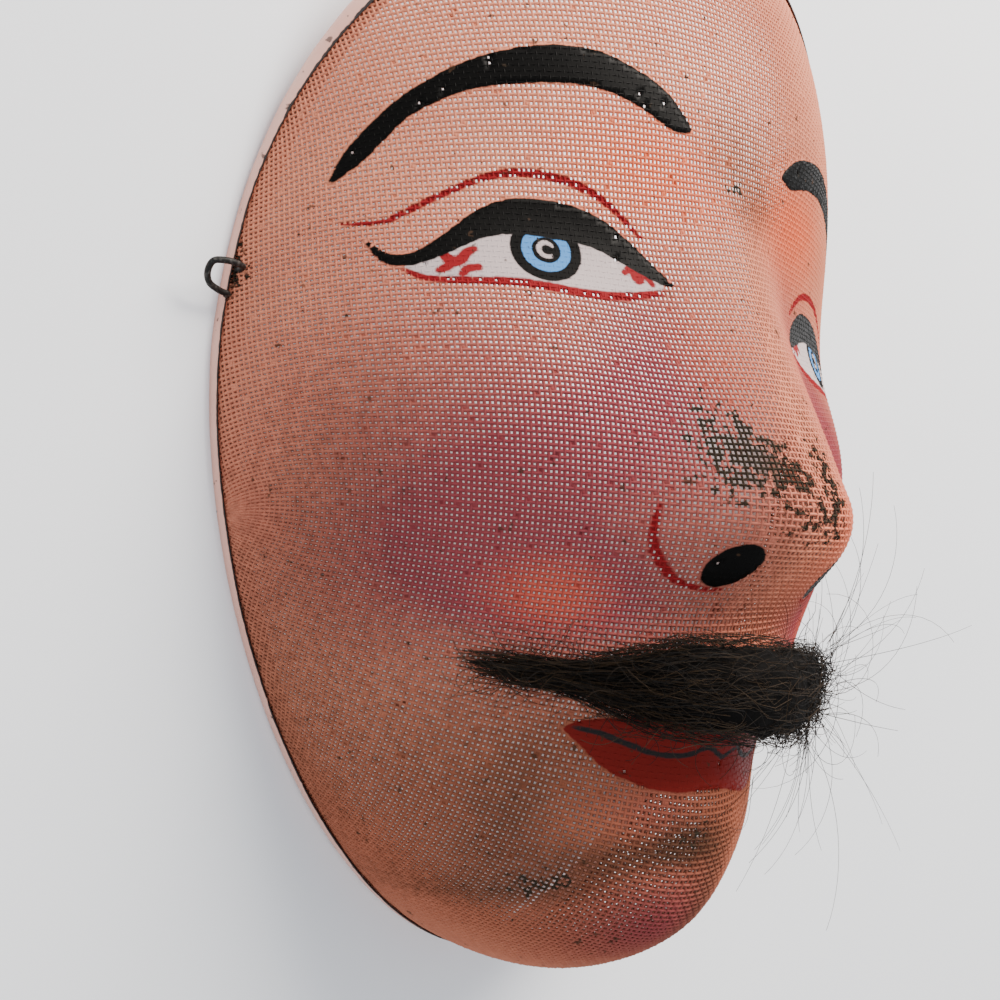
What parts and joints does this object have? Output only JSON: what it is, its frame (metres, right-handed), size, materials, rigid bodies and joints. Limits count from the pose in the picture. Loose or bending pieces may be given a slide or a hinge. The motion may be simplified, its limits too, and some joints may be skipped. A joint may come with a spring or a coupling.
{
  "type": "wire mesh mask",
  "caption": "Full-face mask pressed from painted woven wire, with a folded metal rim, wire tie loops at the temples and a hair moustache.",
  "frame": {"origin": "on the table under the middle of the mask's bounding box", "axes": "+Z out of the face and up, +Y towards the forehead, +X towards the mask's own left temple"},
  "size_m": [0.1752, 0.2162, 0.0739],
  "materials": {
    "painted_wire_mesh": "flesh pink oil paint on woven iron wire, rouged and worn",
    "painted_tin_strip": "thin pink paint on folded tin, scuffed",
    "dark_iron_wire": "dark annealed iron wire",
    "dark_hair": "dark brown to black hair, slightly glossy"
  },
  "bodies": {
    "root": {"wire_mesh_face": "painted_wire_mesh", "rim_band": "painted_tin_strip", "strap_loop_right": "dark_iron_wire", "strap_loop_left": "dark_iron_wire", "moustache": "dark_hair"}
  },
  "joints": []
}
